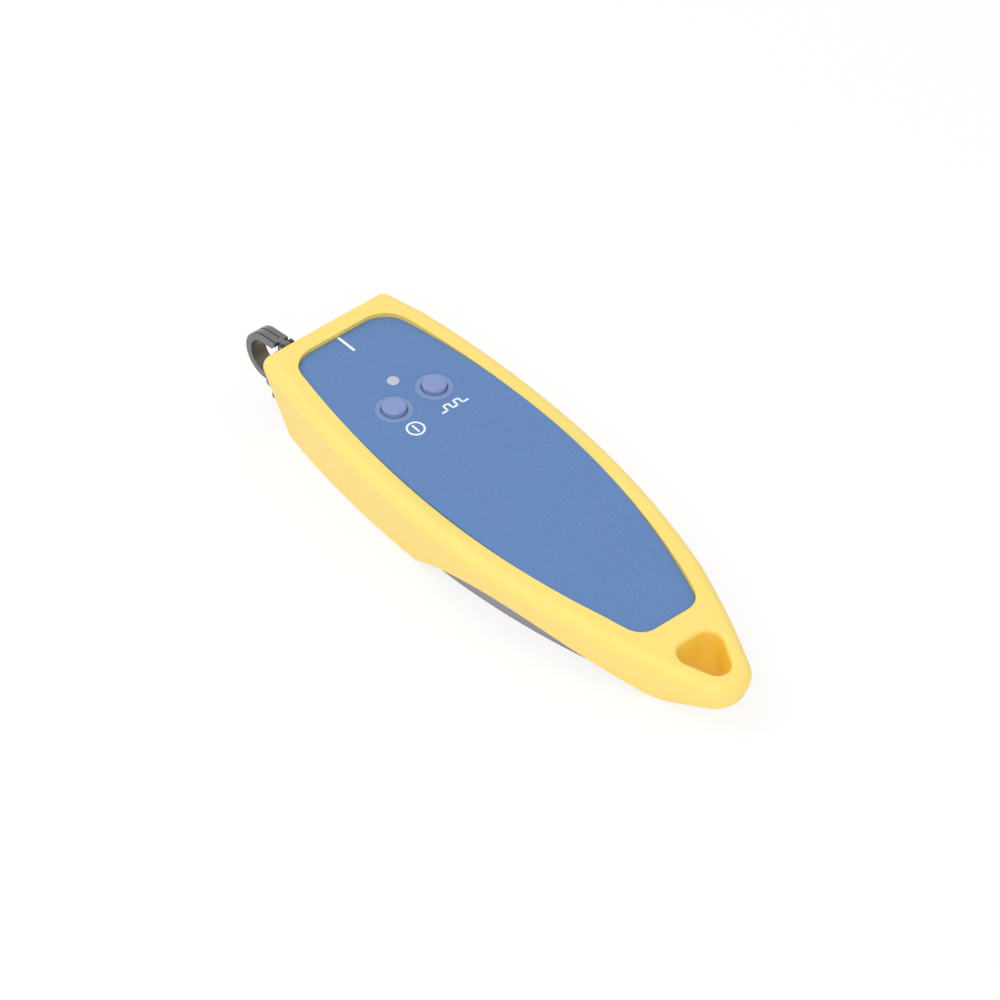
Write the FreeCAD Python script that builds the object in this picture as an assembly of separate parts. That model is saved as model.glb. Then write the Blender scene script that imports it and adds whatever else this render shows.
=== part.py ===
"""Visual fault locator: a hand-held red laser source for finding breaks in optical fibre.

Millimetres. +X runs from the port at the front to the lanyard hole in the tail, +Y to the
right-hand side as the user holds it, +Z up. The origin is the centre of the flat base.
The face is an arched surface that slopes down to the tail. Pieces that follow the face are
drawn in the face's own frame (x along it, z square to it) and then placed.
"""
import FreeCAD, Part
import math
import os

V = FreeCAD.Vector

# ---------------------------------------------------------------- body, seen from above
body_length = 147.2
body_half_width = 25.2
widest_from_front = 57.4
front_flank_radius = 275.0
tail_tip_radius = 8.4
front_corner_radius = 2.8

# ---------------------------------------------------------------- body, seen from the side
front_height = 24.7
face_pitch = 4.15
arch_rise = 2.6
arch_crown_from_front = 63.0
wall_draft = 14.5
rim_edge_radius = 2.6
foot_edge_radius = 2.6
tail_lift = 6.2
tail_lift_from_tip = 19.0

# ---------------------------------------------------------------- holster
holster_wall = 2.8
holster_front_wall = 3.0
rim_lip = 2.0
tail_block_length = 22.7
belly_start_from_front = 51.0
belly_crest_from_front = 86.0
belly_end_from_tip = 23.2
belly_crest_height = 9.4
belly_end_height = 1.6

# lanyard hole, a three-cornered hole in the tail with its flat side to the face
lanyard_from_tip = 18.3
lanyard_length = 12.0
lanyard_width = 11.8
lanyard_corner_radius = 3.5
lanyard_edge_radius = 1.2

# ---------------------------------------------------------------- face
face_front_margin = 6.2
face_rear_margin = 24.8
face_half_width = 19.85
face_widest_from_front = 58.0
face_front_flank_radius = 248.0
face_rear_flank_radius = 193.0
face_front_corner_radius = 7.5
face_rear_corner_radius = 5.5
face_recess = 1.2

# ---------------------------------------------------------------- casing
fit_gap = 0.15
casing_wall = 1.6
casing_corner_radius = 4.0
shoulder_thickness = 1.6
split_depth = 7.5
floor_thickness = 2.6

# ---------------------------------------------------------------- buttons and indicator
controls_from_front = 33.5
button_spacing = 12.1
button_diameter = 5.9
button_height = 1.25
button_edge_radius = 0.6
button_flange_diameter = 7.4
button_flange_thickness = 0.5
button_flange_gap = 0.3
button_stem_diameter = 2.0
mat_depth = 2.8
mat_thickness = 1.0
mat_half_length = 5.6
mat_half_width = 10.8
mat_ring_diameter = 9.1
mat_ring_gap = 0.05
mat_ring_recess = 0.06
mat_hole_gap = 0.2
indicator_ahead = 7.4
indicator_diameter = 3.0
indicator_head = 0.8
indicator_stem_diameter = 2.2
indicator_stem_length = 3.4
indicator_edge_chamfer = 0.15

# ---------------------------------------------------------------- circuit board
board_depth = 7.6
board_thickness = 1.2
board_ahead = 20.0
board_behind = 3.2
board_half_width = 9.6
board_post_places = [(-15.0, 7.7), (-15.0, -7.7), (0.0, 0.0)]
board_post_diameter = 3.4
board_post_root = 0.3
board_screw_diameter = 1.6
board_screw_length = 4.2
board_screw_head_diameter = 3.0
board_screw_head_height = 1.0
switch_size = 4.6
switch_height = 1.7
switch_nub_diameter = 1.8
switch_nub_height = 0.35
thread_gap = 0.02

# ---------------------------------------------------------------- port at the front
port_offset = 9.5
port_depth = 14.4
port_block_width = 7.6
port_block_top = 3.95
port_block_bottom = 17.8
port_block_reach = 1.75
port_block_corner = 1.2
port_flange_behind = 8.807
port_flange_thickness = 1.6
port_flange_margin = 1.2
port_frame_wall = 1.6
port_rim_diameter = 6.4
port_rim_length = 0.9
receptacle_diameter = 5.2
receptacle_flange_diameter = 6.6
receptacle_flange_thickness = 1.0
receptacle_inset = 0.2
sleeve_outer_diameter = 3.2
sleeve_gap = 0.03
ferrule_bore_diameter = 2.52
sleeve_length = 11.0
port_mouth_diameter = 3.6
port_mouth_depth = 1.2
light_aperture_diameter = 2.0

# ---------------------------------------------------------------- laser module
barrel_diameter = 7.6
barrel_length = 17.0
barrel_bore = 6.44
barrel_shoulder_bore = 4.2
barrel_shoulder_length = 3.3
lens_holder_diameter = 6.4
lens_holder_length = 12.2
lens_holder_bore = 3.0
lens_diameter = 4.0
lens_thickness = 2.2
lens_face_radius = 4.0
diode_diameter = 5.6
diode_cap_diameter = 3.6
diode_cap_length = 2.4
diode_base_thickness = 1.2
diode_lead_diameter = 0.45
diode_lead_length = 1.5
diode_lead_circle = 2.0
saddle_places = [3.0, 11.0]
saddle_thickness = 2.0
saddle_half_width = 5.0

# ---------------------------------------------------------------- dust cover
cover_width = 4.2
cover_loop_ahead = 7.0
cover_loop_depth = 9.2
cover_loop_outer = 6.1
cover_loop_inner = 4.3
cover_arm_slope = 5.9
cover_arm_end = 2.2
cover_arm_chamfer = 1.0
cover_tongue_thickness = 1.1
cover_hinge_ahead = 0.8
cover_hinge_depth = 2.85
cover_knuckle_radius = 0.85
cover_knuckle_width = 1.6
cover_ear_radius = 0.95
cover_ear_width = 0.9
cover_ear_gap = 0.12
cover_pin_diameter = 0.8
cover_pin_clearance = 0.03
cover_groove_width = 0.35
cover_groove_depth = 0.3
cover_groove_places = (0.45, -1.6)
cover_cap_diameter = 6.2
cover_cap_front = 4.7
cover_cap_rear = 3.25
seal_diameter = 4.6
seal_thickness = 0.6
seal_pocket = 0.3
seal_fit = 0.05

# ---------------------------------------------------------------- battery
cell_diameter = 14.5
cell_length = 50.5
cell_spacing = 15.1
cell_nub_diameter = 5.5
cell_nub_length = 1.0
cell_edge_chamfer = 0.5
cell_axis_height = 9.2
contact_face_from_front = 36.6
contact_thickness = 0.4
contact_half_width = 5.0
spring_length = 4.6
spring_radius = 3.2
spring_wire = 0.6
spring_turns = 3
bulkhead_thickness = 1.6
bulkhead_below_board = 1.0
rear_bulkhead_drop = 1.5
contact_below_bulkhead = 0.7

# ---------------------------------------------------------------- battery door
door_thickness = 1.5
door_half_width = 12.6
door_corner_radius = 3.0
door_ledge = 1.2
door_gap = 0.2
door_tongue_length = 7.4
door_tongue_half_width = 6.0
door_screw_from_tongue_end = 3.8
door_screw_diameter = 2.5
door_screw_length = 6.0
door_screw_head_diameter = 4.6
door_screw_head_height = 1.05
door_grip_count = 5
door_grip_pitch = 1.6
door_grip_half_width = 5.0

# ---------------------------------------------------------------- case screws
case_screw_front = (31.8, 12.4)
case_screw_rear = (29.6, 6.0)
case_screw_diameter = 2.2
case_screw_length = 10.0
case_screw_head_diameter = 4.0
case_screw_head_height = 1.3
case_screw_seat_below_split = 6.4
case_boss_diameter = 4.8

# ---------------------------------------------------------------- derived places
x_front = -body_length / 2
x_tip = body_length / 2
x_widest = x_front + widest_from_front
tip_centre_reach = x_tip - x_widest - tail_tip_radius
rear_flank_radius = ((tip_centre_reach ** 2 + body_half_width ** 2 - tail_tip_radius ** 2)
                     / (2 * (body_half_width - tail_tip_radius)))
x_crown = x_front + arch_crown_from_front
arch_radius = (arch_crown_from_front ** 2 + arch_rise ** 2) / (2 * arch_rise)
draft = math.tan(math.radians(wall_draft))
mid_height = front_height + x_front * math.sin(math.radians(face_pitch))
FACE = FreeCAD.Placement(V(0, 0, mid_height), FreeCAD.Rotation(V(0, 1, 0), face_pitch))
BIG = 200.0


def arch_height(x):
    """Height of the arched face over the face frame's own plane, at x along the face."""
    return arch_rise - arch_radius + math.sqrt(arch_radius ** 2 - (x - x_crown) ** 2)


def on_face(x, depth=0.0):
    """World point at x along the face's centre line, a depth below the arched surface."""
    return FACE.multVec(V(x, 0, arch_height(x) - depth))


x_controls = x_front + controls_from_front
controls_slope = face_pitch + math.degrees(math.asin((x_controls - x_crown) / arch_radius))
CONTROLS = FreeCAD.Placement(on_face(x_controls), FreeCAD.Rotation(V(0, 1, 0), controls_slope))

nose = on_face(x_front)
y_port = -port_offset
z_port = nose.z - port_depth
x_block_face = nose.x - port_block_reach
x_port_mouth = x_block_face - port_rim_length
port_flange_front = nose.x + port_flange_behind
x_housing_back = port_flange_front + port_flange_thickness
x_barrel = x_housing_back + receptacle_flange_thickness
contact_face_front = x_front + contact_face_from_front
contact_face_rear = contact_face_front + cell_length + spring_length
door_front = contact_face_front - contact_thickness - door_ledge
case_screw_places = [(x, side * y) for side in (1, -1) for x, y in
                     ((x_front + case_screw_front[0], case_screw_front[1]),
                      (x_tip - case_screw_rear[0], case_screw_rear[1]))]
door_rear = contact_face_rear + contact_thickness + door_ledge
board_low = CONTROLS.multVec(V(board_behind, 0, -board_depth - board_thickness)).z
bulkhead_top = board_low - bulkhead_below_board
contact_half_height = bulkhead_top - contact_below_bulkhead - cell_axis_height


def nose_point(ahead, depth, y=0.0):
    """World point a distance ahead of the front top edge and a depth below it."""
    return V(nose.x - ahead, y, nose.z - depth)


# ---------------------------------------------------------------- drawing helpers
def box(x0, x1, y0, y1, z0, z1):
    return Part.makeBox(x1 - x0, y1 - y0, z1 - z0, V(x0, y0, z0))


def rod(diameter, length, start, axis=V(0, 0, 1)):
    return Part.makeCylinder(diameter / 2, length, start, axis)


def arc(centre, radius, start, end):
    """The shorter arc about a centre from start to end."""
    middle = (start - centre).normalize() + (end - centre).normalize()
    return Part.Arc(start, centre + middle.normalize() * radius, end).toShape()


def mirrored(point):
    return V(point.x, -point.y, point.z)


def to_world(shape, frame=FACE):
    placed = shape.copy()
    placed.Placement = frame.multiply(placed.Placement)
    return placed


def rounded_plate(x0, x1, half_width, z0, z1, corner):
    """A flat plate with rounded corners, centred on y = 0."""
    plate = box(x0, x1, -half_width, half_width, z0, z1)
    uprights = [e for e in plate.Edges if abs(e.tangentAt(e.FirstParameter).z) > 0.99]
    return plate.makeFillet(corner, uprights)


def boat_wire(front, rear, widest, half_width, front_flank, rear_flank, front_corner,
              rear_corner, height):
    """Closed outline of two bowed flanks between a flat front and a rear end.

    Each flank is two arcs that share a tangent at the widest section. The rear end is flat
    with round corners, or one round tip where rear_corner is None.
    """
    crest = V(widest, half_width, height)
    fore = V(widest, half_width - front_flank, height)
    aft = V(widest, half_width - rear_flank, height)

    def corner(end, inward, flank, flank_radius, radius):
        x = end + inward * radius
        y = flank.y + math.sqrt((flank_radius - radius) ** 2 - (x - widest) ** 2)
        centre = V(x, y, height)
        touch = flank + (centre - flank).normalize() * flank_radius
        return centre, touch

    front_centre, front_touch = corner(front, 1, fore, front_flank, front_corner)
    front_end = V(front, front_centre.y, height)
    upper = [arc(front_centre, front_corner, front_end, front_touch),
             arc(fore, front_flank, front_touch, crest)]
    if rear_corner is None:
        reach = rear - widest
        tip = (rear_flank ** 2 - aft.y ** 2 - reach ** 2) / (2 * (rear_flank - reach))
        tip_centre = V(rear - tip, 0, height)
        touch = aft + (tip_centre - aft).normalize() * rear_flank
        upper.append(arc(aft, rear_flank, crest, touch))
        tail = [Part.Arc(touch, V(rear, 0, height), mirrored(touch)).toShape()]
    else:
        rear_centre, touch = corner(rear, -1, aft, rear_flank, rear_corner)
        rear_end = V(rear, rear_centre.y, height)
        upper.append(arc(aft, rear_flank, crest, touch))
        upper.append(arc(rear_centre, rear_corner, touch, rear_end))
        tail = [Part.LineSegment(rear_end, mirrored(rear_end)).toShape()]
    lower = [edge.mirror(V(0, 0, 0), V(0, 1, 0)) for edge in reversed(upper)]
    nose_line = Part.LineSegment(mirrored(front_end), front_end).toShape()
    return Part.Wire(upper + tail + lower + [nose_line])


def body_wire(grow, height):
    """Outline of the whole body in the face frame, grown by a distance all round."""
    return boat_wire(x_front - grow, x_tip + grow, x_widest, body_half_width + grow,
                     front_flank_radius + grow, rear_flank_radius + grow,
                     front_corner_radius, None, height)


def casing_wire(grow, height):
    """Outline of the room inside the holster, grown by a distance all round."""
    return boat_wire(x_front + holster_front_wall - grow, x_tip - tail_block_length + grow,
                     x_widest, body_half_width - holster_wall + grow,
                     front_flank_radius - holster_wall + grow,
                     rear_flank_radius - holster_wall + grow,
                     casing_corner_radius, casing_corner_radius, height)


def face_wire(grow, height):
    """Outline of the blue face, grown by a distance all round."""
    front = x_front + face_front_margin
    return boat_wire(front - grow, x_tip - face_rear_margin + grow,
                     x_front + face_widest_from_front, face_half_width + grow,
                     face_front_flank_radius + grow, face_rear_flank_radius + grow,
                     face_front_corner_radius + grow, face_rear_corner_radius + grow, height)


def drafted(wire, grow, low, high):
    """Solid whose walls lean in going down by the moulding draft, between two heights."""
    wires = [wire(grow + low * draft, low), wire(grow + high * draft, high)]
    return Part.makeLoft(wires, True, True)


def upright(wire, grow, low, high):
    """Solid with upright walls over an outline of the face frame."""
    return Part.Face(wire(grow, low)).extrude(V(0, 0, high - low))


def below_arch(drop):
    """Everything under the arched surface lowered by a distance, in the face frame."""
    centre = V(x_crown, -BIG / 2, arch_rise - arch_radius)
    return rod(2 * (arch_radius - drop), BIG, centre, V(0, 1, 0))


def above_base(height=0.0):
    return box(-BIG / 2, BIG / 2, -BIG / 2, BIG / 2, height, BIG)


def outline(points):
    """Straight edges round a closed row of points."""
    return [Part.LineSegment(p, q).toShape() for p, q in zip(points, points[1:] + points[:1])]


def side_prism(edges):
    """Solid right across the body from a closed outline drawn in the X-Z plane."""
    face = Part.Face(Part.Wire(edges))
    face.translate(V(0, -BIG / 2, 0))
    return face.extrude(V(0, BIG, 0))


def edges_near(shape, test, tolerance=0.05):
    """Edges whose start, middle and end all pass a test of distance to a surface."""
    found = []
    for edge in shape.Edges:
        first, last = edge.ParameterRange
        points = [edge.valueAt(first + (last - first) * t) for t in (0.05, 0.5, 0.95)]
        if all(abs(test(p)) < tolerance for p in points):
            found.append(edge)
    return found


def over_arch(point):
    """Signed height of a world point over the arched face."""
    local = FACE.inverse().multVec(point)
    return local.z - arch_height(local.x)


# ---------------------------------------------------------------- holster
def tail_underside_height(x):
    """The tail's underside rises in a straight ramp to the tip."""
    start = x_tip - tail_lift_from_tip
    return max(0.0, (x - start) * tail_lift / tail_lift_from_tip)


def body_block():
    """The whole body as one drafted block with its rounded rim and foot."""
    block = drafted(body_wire, 0, -front_height - 1.3, 1).common(below_arch(0))
    block = to_world(block).common(above_base())
    block = block.cut(tail_ramp())
    start = x_tip - tail_lift_from_tip
    block = block.makeFillet(rim_edge_radius, edges_near(block, over_arch))
    foot = edges_near(block, lambda p: p.z - tail_underside_height(p.x))
    crossing = [e for e in foot if abs(e.tangentAt(e.FirstParameter).y) > 0.99 and
                abs(e.CenterOfMass.x - start) < 1]
    foot = [e for e in foot if not any(e.isSame(c) for c in crossing)]
    return block.makeFillet(foot_edge_radius, foot)


def belly_cut():
    """Room under the holster's side walls where they step up and show the lower casing."""
    start = V(x_front + belly_start_from_front, 0, 0)
    rise = V(start.x + 12, 0, belly_crest_height * 0.45)
    crest = V(x_front + belly_crest_from_front, 0, belly_crest_height)
    end = V(x_tip - belly_end_from_tip, 0, belly_end_height)
    line = Part.BSplineCurve()
    line.interpolate([start, rise, crest, end],
                     InitialTangent=V(1, 0, 0.05), FinalTangent=V(1, 0, -0.22))
    drop_end = V(end.x, 0, -1)
    drop_start = V(start.x, 0, -1)
    return side_prism([line.toShape()] + outline([end, drop_end, drop_start, start])[:3])


def lanyard_wire(grow, height):
    """Three-cornered outline with round corners: a flat side ahead and a point behind."""
    flat = x_tip - lanyard_from_tip
    radius = lanyard_corner_radius + grow
    side = lanyard_width / 2 - lanyard_corner_radius
    centres = [V(flat + lanyard_corner_radius, side, height),
               V(flat + lanyard_length - lanyard_corner_radius, 0, height),
               V(flat + lanyard_corner_radius, -side, height)]
    slope = (centres[1] - centres[0]).normalize()
    normals = [V(-1, 0, 0), V(-slope.y, slope.x, 0), V(-slope.y, -slope.x, 0)]
    a, b, c = centres
    n_flat, n_left, n_right = [n * radius for n in normals]
    return Part.Wire([arc(a, radius, a + n_flat, a + n_left),
                      Part.LineSegment(a + n_left, b + n_left).toShape(),
                      Part.Arc(b + n_left, b + V(radius, 0, 0), b + n_right).toShape(),
                      Part.LineSegment(b + n_right, c + n_right).toShape(),
                      arc(c, radius, c + n_right, c + n_flat),
                      Part.LineSegment(c + n_flat, a + n_flat).toShape()])


def tail_ramp():
    """Room under the tail, where the underside rises to the tip."""
    start = V(x_tip - tail_lift_from_tip, 0, 0)
    end = V(BIG / 2, 0, tail_underside_height(BIG / 2))
    return side_prism(outline([start, end, V(end.x, 0, -1), V(start.x, 0, -1)]))


def port_bar(x0, x1, gap, sill_gap):
    """Bar along X with the section of the port block, grown by a gap."""
    half = port_block_width / 2 + gap
    bar = box(x0, x1, y_port - half, y_port + half,
              nose.z - port_block_bottom - sill_gap, nose.z - port_block_top + gap)
    along = [e for e in bar.Edges if abs(e.tangentAt(e.FirstParameter).x) > 0.99]
    return bar.makeFillet(port_block_corner, along)


def holster():
    boot = body_block()
    room = drafted(casing_wire, 0, -front_height, 6).common(below_arch(rim_lip))
    window = upright(face_wire, 0, -12, 8)
    hole = Part.makeLoft([lanyard_wire(-0.5, -20), lanyard_wire(0.25, 6)], True, True)
    boot = boot.cut(to_world(room)).cut(to_world(window)).cut(to_world(hole))
    boot = boot.cut(belly_cut()).cut(port_bar(nose.x - 10, nose.x + 12, fit_gap, fit_gap))
    rims = edges_near(boot, over_arch)
    hole_rims = [e for e in rims if e.CenterOfMass.x > x_tip - lanyard_from_tip - 1]
    return boot.makeFillet(lanyard_edge_radius, hole_rims)


# ---------------------------------------------------------------- casing
def split_height(x):
    """Height of the joint between the two casings at a world x."""
    pitch = math.radians(face_pitch)
    return mid_height - x * math.tan(pitch) - split_depth / math.cos(pitch)


def casing_form(inset, drop):
    """Solid form of both casings together, inset from the holster's room."""
    form = drafted(casing_wire, -fit_gap - inset, -front_height, 6)
    return form.common(below_arch(rim_lip + drop))


def above_split():
    return box(-BIG / 2, BIG / 2, -BIG / 2, BIG / 2, -split_depth, BIG)


def port_frame():
    """Thick surround inside the front walls that carries the port block."""
    half = port_block_width / 2 + fit_gap + port_frame_wall
    return box(nose.x, port_flange_front, y_port - half, y_port + half,
               nose.z - port_block_bottom - port_frame_wall, nose.z)


def case_screw_seat(x):
    return split_height(x) - case_screw_seat_below_split


def case_bosses():
    return [rod(case_boss_diameter, 40, V(x, y, 0)) for x, y in case_screw_places]


def in_controls(shape):
    return to_world(shape, CONTROLS)


def button_places():
    return [V(0, -button_spacing / 2, 0), V(0, button_spacing / 2, 0)]


def controls_cuts():
    """Holes in the face plate for the buttons and the indicator, and the mat's pocket."""
    half = mat_half_width + 0.2
    cuts = [box(-mat_half_length - 0.2, mat_half_length + 0.2, -half, half,
                -mat_depth - mat_thickness - 0.1, -mat_depth)]
    for place in button_places():
        cuts.append(rod(mat_ring_diameter, 8, place - V(0, 0, 5)))
    place = V(-indicator_ahead, 0, 0)
    head_low = -face_recess - indicator_head
    cuts.append(rod(indicator_diameter + 2 * mat_ring_gap, 8, place + V(0, 0, head_low)))
    cuts.append(rod(indicator_stem_diameter + 0.2, 8, place + V(0, 0, -6)))
    return [in_controls(c) for c in cuts]


def board_posts():
    """Hollow posts under the face plate that the circuit board is screwed up to."""
    posts = []
    for x, y in board_post_places:
        low = V(x, y, -board_depth)
        post = rod(board_post_diameter, board_depth - mat_depth + board_post_root, low)
        pilot = rod(board_screw_diameter + 2 * thread_gap, board_screw_length, low)
        posts.append((in_controls(post), in_controls(pilot)))
    return posts


def upper_casing():
    form = casing_form(0, 0).common(above_split())
    plateau = upright(face_wire, -fit_gap, -4, 6).common(below_arch(face_recess))
    cavity = to_world(casing_form(casing_wall, shoulder_thickness))
    shell = to_world(form.fuse(plateau))
    inside = [b.common(cavity) for b in case_bosses() + [port_frame()]]
    inside = [b.common(to_world(above_split())) for b in inside]
    shell = shell.cut(cavity).multiFuse(inside)
    shell = shell.cut(Part.makeCompound(controls_cuts()))
    for post, pilot in board_posts():
        shell = shell.fuse(post).cut(pilot)
    for x, y in case_screw_places:
        low = V(x, y, case_screw_seat(x))
        shell = shell.cut(rod(case_screw_diameter + 2 * thread_gap, case_screw_length, low))
    shell = shell.cut(port_bar(nose.x - 10, port_flange_front, fit_gap, 0))
    return shell.removeSplitter()


def door_plate(grow, low, high):
    """Battery door outline with its screw tongue, grown by a gap."""
    plate = rounded_plate(door_front - grow, door_rear + grow, door_half_width + grow,
                          low, high, door_corner_radius)
    tongue = rounded_plate(door_rear - 8, door_rear + door_tongue_length + grow,
                           door_tongue_half_width + grow, low, high, door_corner_radius)
    return plate.fuse(tongue).removeSplitter()


def door_screw_place():
    return V(door_rear + door_tongue_length - door_screw_from_tongue_end, 0, 0)


def bulkheads():
    """Cross walls that carry the battery contacts."""
    half = door_half_width + 1.0
    front = contact_face_front - contact_thickness
    rear = contact_face_rear + contact_thickness
    return [box(front - bulkhead_thickness, front, -half, half, door_thickness, bulkhead_top),
            box(rear, rear + bulkhead_thickness, -half, half, door_thickness,
                bulkhead_top - rear_bulkhead_drop)]


def saddles():
    """Cradles under the laser barrel."""
    ribs = [box(x_barrel + place, x_barrel + place + saddle_thickness,
                y_port - saddle_half_width, y_port + saddle_half_width, 1.0, z_port)
            for place in saddle_places]
    barrel = rod(barrel_diameter, 2 * barrel_length, V(nose.x, y_port, z_port), V(1, 0, 0))
    return [r.cut(barrel) for r in ribs]


def lower_casing():
    form = to_world(casing_form(0, 0).cut(above_split())).common(above_base())
    form = form.cut(tail_ramp())
    cavity = to_world(casing_form(casing_wall, shoulder_thickness))
    cavity = cavity.common(above_base(floor_thickness))
    inside = saddles() + case_bosses() + [port_frame()]
    screw = door_screw_place()
    inside.append(rod(case_boss_diameter, 8, V(screw.x, 0, door_thickness)))
    inside = [p.common(cavity).cut(to_world(above_split())) for p in inside]
    shell = form.cut(cavity).multiFuse(inside + [b.common(form) for b in bulkheads()])
    shell = shell.cut(door_plate(door_gap, -1, door_thickness))
    opening = box(door_front + door_ledge, door_rear - door_ledge,
                  -door_half_width + door_ledge, door_half_width - door_ledge, 0, 5)
    shell = shell.cut(opening)
    pilot = rod(door_screw_diameter + 2 * thread_gap, door_screw_length, V(screw.x, 0, 0.5))
    shell = shell.cut(pilot)
    for x, y in case_screw_places:
        seat = case_screw_seat(x)
        shell = shell.cut(rod(case_screw_diameter + 0.3, 40, V(x, y, -1)))
        shell = shell.cut(rod(case_screw_head_diameter + 0.4, seat + 1, V(x, y, -1)))
    shell = shell.cut(port_bar(nose.x - 10, port_flange_front, fit_gap, 0))
    return shell.removeSplitter()


# ---------------------------------------------------------------- buttons and indicator
def keypad_mat():
    """Silicone mat with two raised rings that fill the round holes in the face."""
    top = -mat_depth
    mat = box(-mat_half_length, mat_half_length, -mat_half_width, mat_half_width,
              top - mat_thickness, top)
    rise = mat_depth - face_recess - mat_ring_recess
    for place in button_places():
        mat = mat.fuse(rod(mat_ring_diameter - 2 * mat_ring_gap, rise, place + V(0, 0, top)))
    for place in button_places():
        mat = mat.cut(rod(button_diameter + 2 * mat_hole_gap, 12, place - V(0, 0, 8)))
    mat = mat.cut(rod(board_post_diameter + 0.6, mat_thickness + board_post_root + 0.1,
                      V(0, 0, top - mat_thickness)))
    return in_controls(mat.removeSplitter())


def button(place):
    """Round cap with a flange under the mat and a short stem over the switch."""
    top = -face_recess + button_height
    flange_top = -mat_depth - mat_thickness - button_flange_gap
    cap = rod(button_diameter, top - flange_top + 0.1, place + V(0, 0, flange_top - 0.1))
    rim = [e for e in cap.Edges if abs(e.CenterOfMass.z - top) < 0.01 and e.Closed]
    cap = cap.makeFillet(button_edge_radius, rim)
    low = flange_top - button_flange_thickness
    cap = cap.fuse(rod(button_flange_diameter, button_flange_thickness, place + V(0, 0, low)))
    cap = cap.fuse(rod(button_stem_diameter, 0.6, place + V(0, 0, low - 0.4)))
    return in_controls(cap.removeSplitter())


def indicator_lens():
    """Clear light pipe: a round head flush with the face and a stem down to the diode."""
    place = V(-indicator_ahead, 0, -face_recess - indicator_head)
    head = rod(indicator_diameter, indicator_head + 0.2, place)
    rim = [e for e in head.Edges if e.Closed and e.CenterOfMass.z > place.z + 0.5]
    head = head.makeChamfer(indicator_edge_chamfer, rim)
    stem = rod(indicator_stem_diameter, indicator_stem_length,
               place - V(0, 0, indicator_stem_length))
    return in_controls(head.fuse(stem))


# ---------------------------------------------------------------- circuit board
def on_board(x, y, length, width, height):
    """A block standing on the board, centred at x and y."""
    return in_controls(box(x - length / 2, x + length / 2, y - width / 2, y + width / 2,
                           -board_depth, -board_depth + height))


def circuit_board():
    top = -board_depth
    board = box(-board_ahead, board_behind, -board_half_width, board_half_width,
                top - board_thickness, top)
    uprights = [e for e in board.Edges if abs(e.tangentAt(e.FirstParameter).z) > 0.99]
    board = board.makeFillet(1.0, uprights)
    for x, y in board_post_places:
        board = board.cut(rod(board_screw_diameter + 0.2, 12, V(x, y, top - 6)))
    return in_controls(board)


def switch(place):
    body = box(place.x - switch_size / 2, place.x + switch_size / 2,
               place.y - switch_size / 2, place.y + switch_size / 2,
               -board_depth, -board_depth + switch_height)
    nub = rod(switch_nub_diameter, switch_height + switch_nub_height,
              place - V(0, 0, board_depth))
    return in_controls(body.fuse(nub).removeSplitter())


def screw(diameter, length, head_diameter, head_height, countersunk=False):
    """Screw pointing up, the underside of its head at the origin."""
    shank = rod(diameter, length, V(0, 0, 0))
    if countersunk:
        head = Part.makeCone(head_diameter / 2, diameter / 2, head_height, V(0, 0, -head_height))
    else:
        head = rod(head_diameter, head_height, V(0, 0, -head_height))
    return shank.fuse(head).removeSplitter()


def moved(shape, place):
    """A copy of a shape shifted to a place."""
    copy = shape.copy()
    copy.translate(place)
    return copy


def board_screws():
    one = screw(board_screw_diameter, board_screw_length, board_screw_head_diameter,
                board_screw_head_height)
    low = -board_depth - board_thickness
    return Part.makeCompound([in_controls(moved(one, V(x, y, low)))
                              for x, y in board_post_places])


def indicator_led():
    return on_board(-indicator_ahead, 0, 1.6, 3.2, 1.1)


def driver_chip():
    return on_board(-12.2, 0, 4.0, 5.0, 1.5)


def capacitors():
    """Three small block capacitors."""
    places = [(-18.2, 3.4), (-18.2, 0.0), (-11.2, -6.4)]
    return Part.makeCompound([on_board(x, y, 2.0, 1.4, 1.2) for x, y in places])


def inductor():
    return on_board(-9.6, 5.9, 4.0, 4.0, 2.0)


# ---------------------------------------------------------------- port
def port_housing():
    """Block that carries the receptacle, with a flange inside and two ears for the cover."""
    block = port_bar(x_block_face, port_flange_front, 0, 0)
    half = port_block_width / 2 + port_flange_margin
    flange = box(port_flange_front, x_housing_back, y_port - half, y_port + half,
                 nose.z - port_block_bottom - port_flange_margin, nose.z - port_block_top)
    flange = flange.common(to_world(casing_form(casing_wall + fit_gap, shoulder_thickness)))
    front = V(x_port_mouth, y_port, z_port)
    rim = rod(port_rim_diameter, port_rim_length + 1, front, V(1, 0, 0))
    block = block.multiFuse([flange, rim] + cover_ears())
    block = block.cut(rod(receptacle_diameter, 40, front, V(1, 0, 0)))
    pin = nose_point(cover_hinge_ahead, cover_hinge_depth, y_port - 5)
    return block.cut(rod(cover_pin_diameter, 10, pin, V(0, 1, 0))).removeSplitter()


def cover_ears():
    hinge = nose_point(cover_hinge_ahead, cover_hinge_depth)
    inner = cover_knuckle_width / 2 + cover_ear_gap
    ears = []
    for y in (y_port + inner, y_port - inner - cover_ear_width):
        top = rod(2 * cover_ear_radius, cover_ear_width, V(hinge.x, y, hinge.z), V(0, 1, 0))
        leg = box(hinge.x - cover_ear_radius, hinge.x + cover_ear_radius, y,
                  y + cover_ear_width, nose.z - port_block_top - 0.5, hinge.z)
        ears.append(top.fuse(leg))
    return ears


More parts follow.
